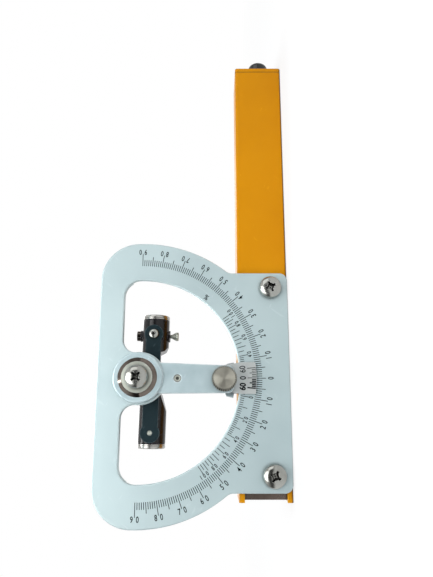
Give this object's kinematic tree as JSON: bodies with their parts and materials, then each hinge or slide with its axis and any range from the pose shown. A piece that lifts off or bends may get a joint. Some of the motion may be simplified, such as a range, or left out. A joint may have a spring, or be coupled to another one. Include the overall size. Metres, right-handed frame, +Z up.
{
  "type": "abney level",
  "caption": "Hand-held slope level: a square sighting tube with an arc plate, an index arm with vernier and clamp, and a bubble that turns with the arm.",
  "frame": {"origin": "on the sighting tube's flat underside, in the tube's middle plane, straight below the arm's pivot", "axes": "+X along the sighting tube towards the eyepiece, +Z up from the tube to the pivot; the arc plate faces -Y"},
  "size_m": [0.159, 0.0269, 0.0593],
  "materials": {
    "yellow_paint": "semi-gloss",
    "black_finish": "gloss",
    "white_enamel": "satin",
    "slate_paint": "satin",
    "arm_metal": "satin plated",
    "vernier_metal": "matt",
    "satin_steel": "satin",
    "knurled_steel": "turned",
    "screw_steel": "bright plated",
    "bright_chrome": "polished",
    "bush_brass": "turned",
    "clear_glass": "clear",
    "silvered_glass": "silvered",
    "vial_spirit": "clear tinted"
  },
  "bodies": {
    "frame": {"sighting_tube": "yellow_paint", "tube_end_cap": "yellow_paint", "objective_frame": "satin_steel", "objective_glass": "clear_glass", "index_wire": "satin_steel", "mirror_holder": "black_finish", "mirror": "silvered_glass", "mirror_screw_1": "screw_steel", "mirror_screw_2": "screw_steel", "arc_plate": "white_enamel", "plate_screw_1": "screw_steel", "plate_screw_2": "screw_steel", "pivot_bush": "bush_brass", "friction_washer": "bush_brass"},
    "arm": {"index_arm": "arm_metal", "arm_set_screw": "screw_steel", "pivot_axle": "satin_steel", "cone_washer": "bright_chrome", "flat_washer": "bright_chrome", "pivot_screw": "screw_steel", "vernier_plate": "vernier_metal", "vernier_screw_1": "screw_steel", "vernier_screw_2": "screw_steel", "bubble_strap": "slate_paint", "vial_hinge_pin": "satin_steel", "adjusting_post": "satin_steel", "post_screw": "screw_steel"},
    "clamp_knob": {"thumb_screw": "knurled_steel"},
    "jaw": {"clamp_jaw": "arm_metal"},
    "vial": {"vial_housing": "black_finish", "vial_cap_1": "bright_chrome", "vial_cap_2": "bright_chrome", "vial_glass": "clear_glass", "vial_liquid": "vial_spirit"},
    "adjuster": {"adjusting_screw": "bright_chrome", "adjusting_nut": "bright_chrome"},
    "eyepiece": {"eyepiece_barrel": "black_finish", "eyepiece_lens": "clear_glass"}
  },
  "joints": [
    {"name": "arm_swing", "type": "hinge", "parent": "frame", "child": "arm", "pos_m": [0, -0.009, 0.04625], "axis": [0, 1, 0], "range_deg": [-86, 84]},
    {"name": "thumb_turn", "type": "hinge", "parent": "arm", "child": "clamp_knob", "pos_m": [-0.00045, -0.013, 0.02025], "axis": [0, 1, 0], "range_deg": [0, 202]},
    {"name": "jaw_slide", "type": "slide", "parent": "arm", "child": "jaw", "axis": [0, -1, 0], "range_m": [0, 0.00028]},
    {"name": "vial_tilt", "type": "hinge", "parent": "arm", "child": "vial", "pos_m": [-0.01626, -0.003, 0.04313], "axis": [0, 1, 0], "range_deg": [-1, 1]},
    {"name": "adjuster_turn", "type": "hinge", "parent": "vial", "child": "adjuster", "pos_m": [0.0144, 0, 0.046], "axis": [0.0175, 0, 0.9998], "range_deg": [-550, 550]},
    {"name": "eyepiece_focus", "type": "slide", "parent": "frame", "child": "eyepiece", "axis": [1, 0, 0], "range_m": [-0.003, 0.003]}
  ],
  "couplings": [
    {"joint": "thumb_turn", "follows": "jaw_slide", "rad_per_m": 12566},
    {"joint": "adjuster_turn", "follows": "vial_tilt", "ratio": -549.34}
  ]
}
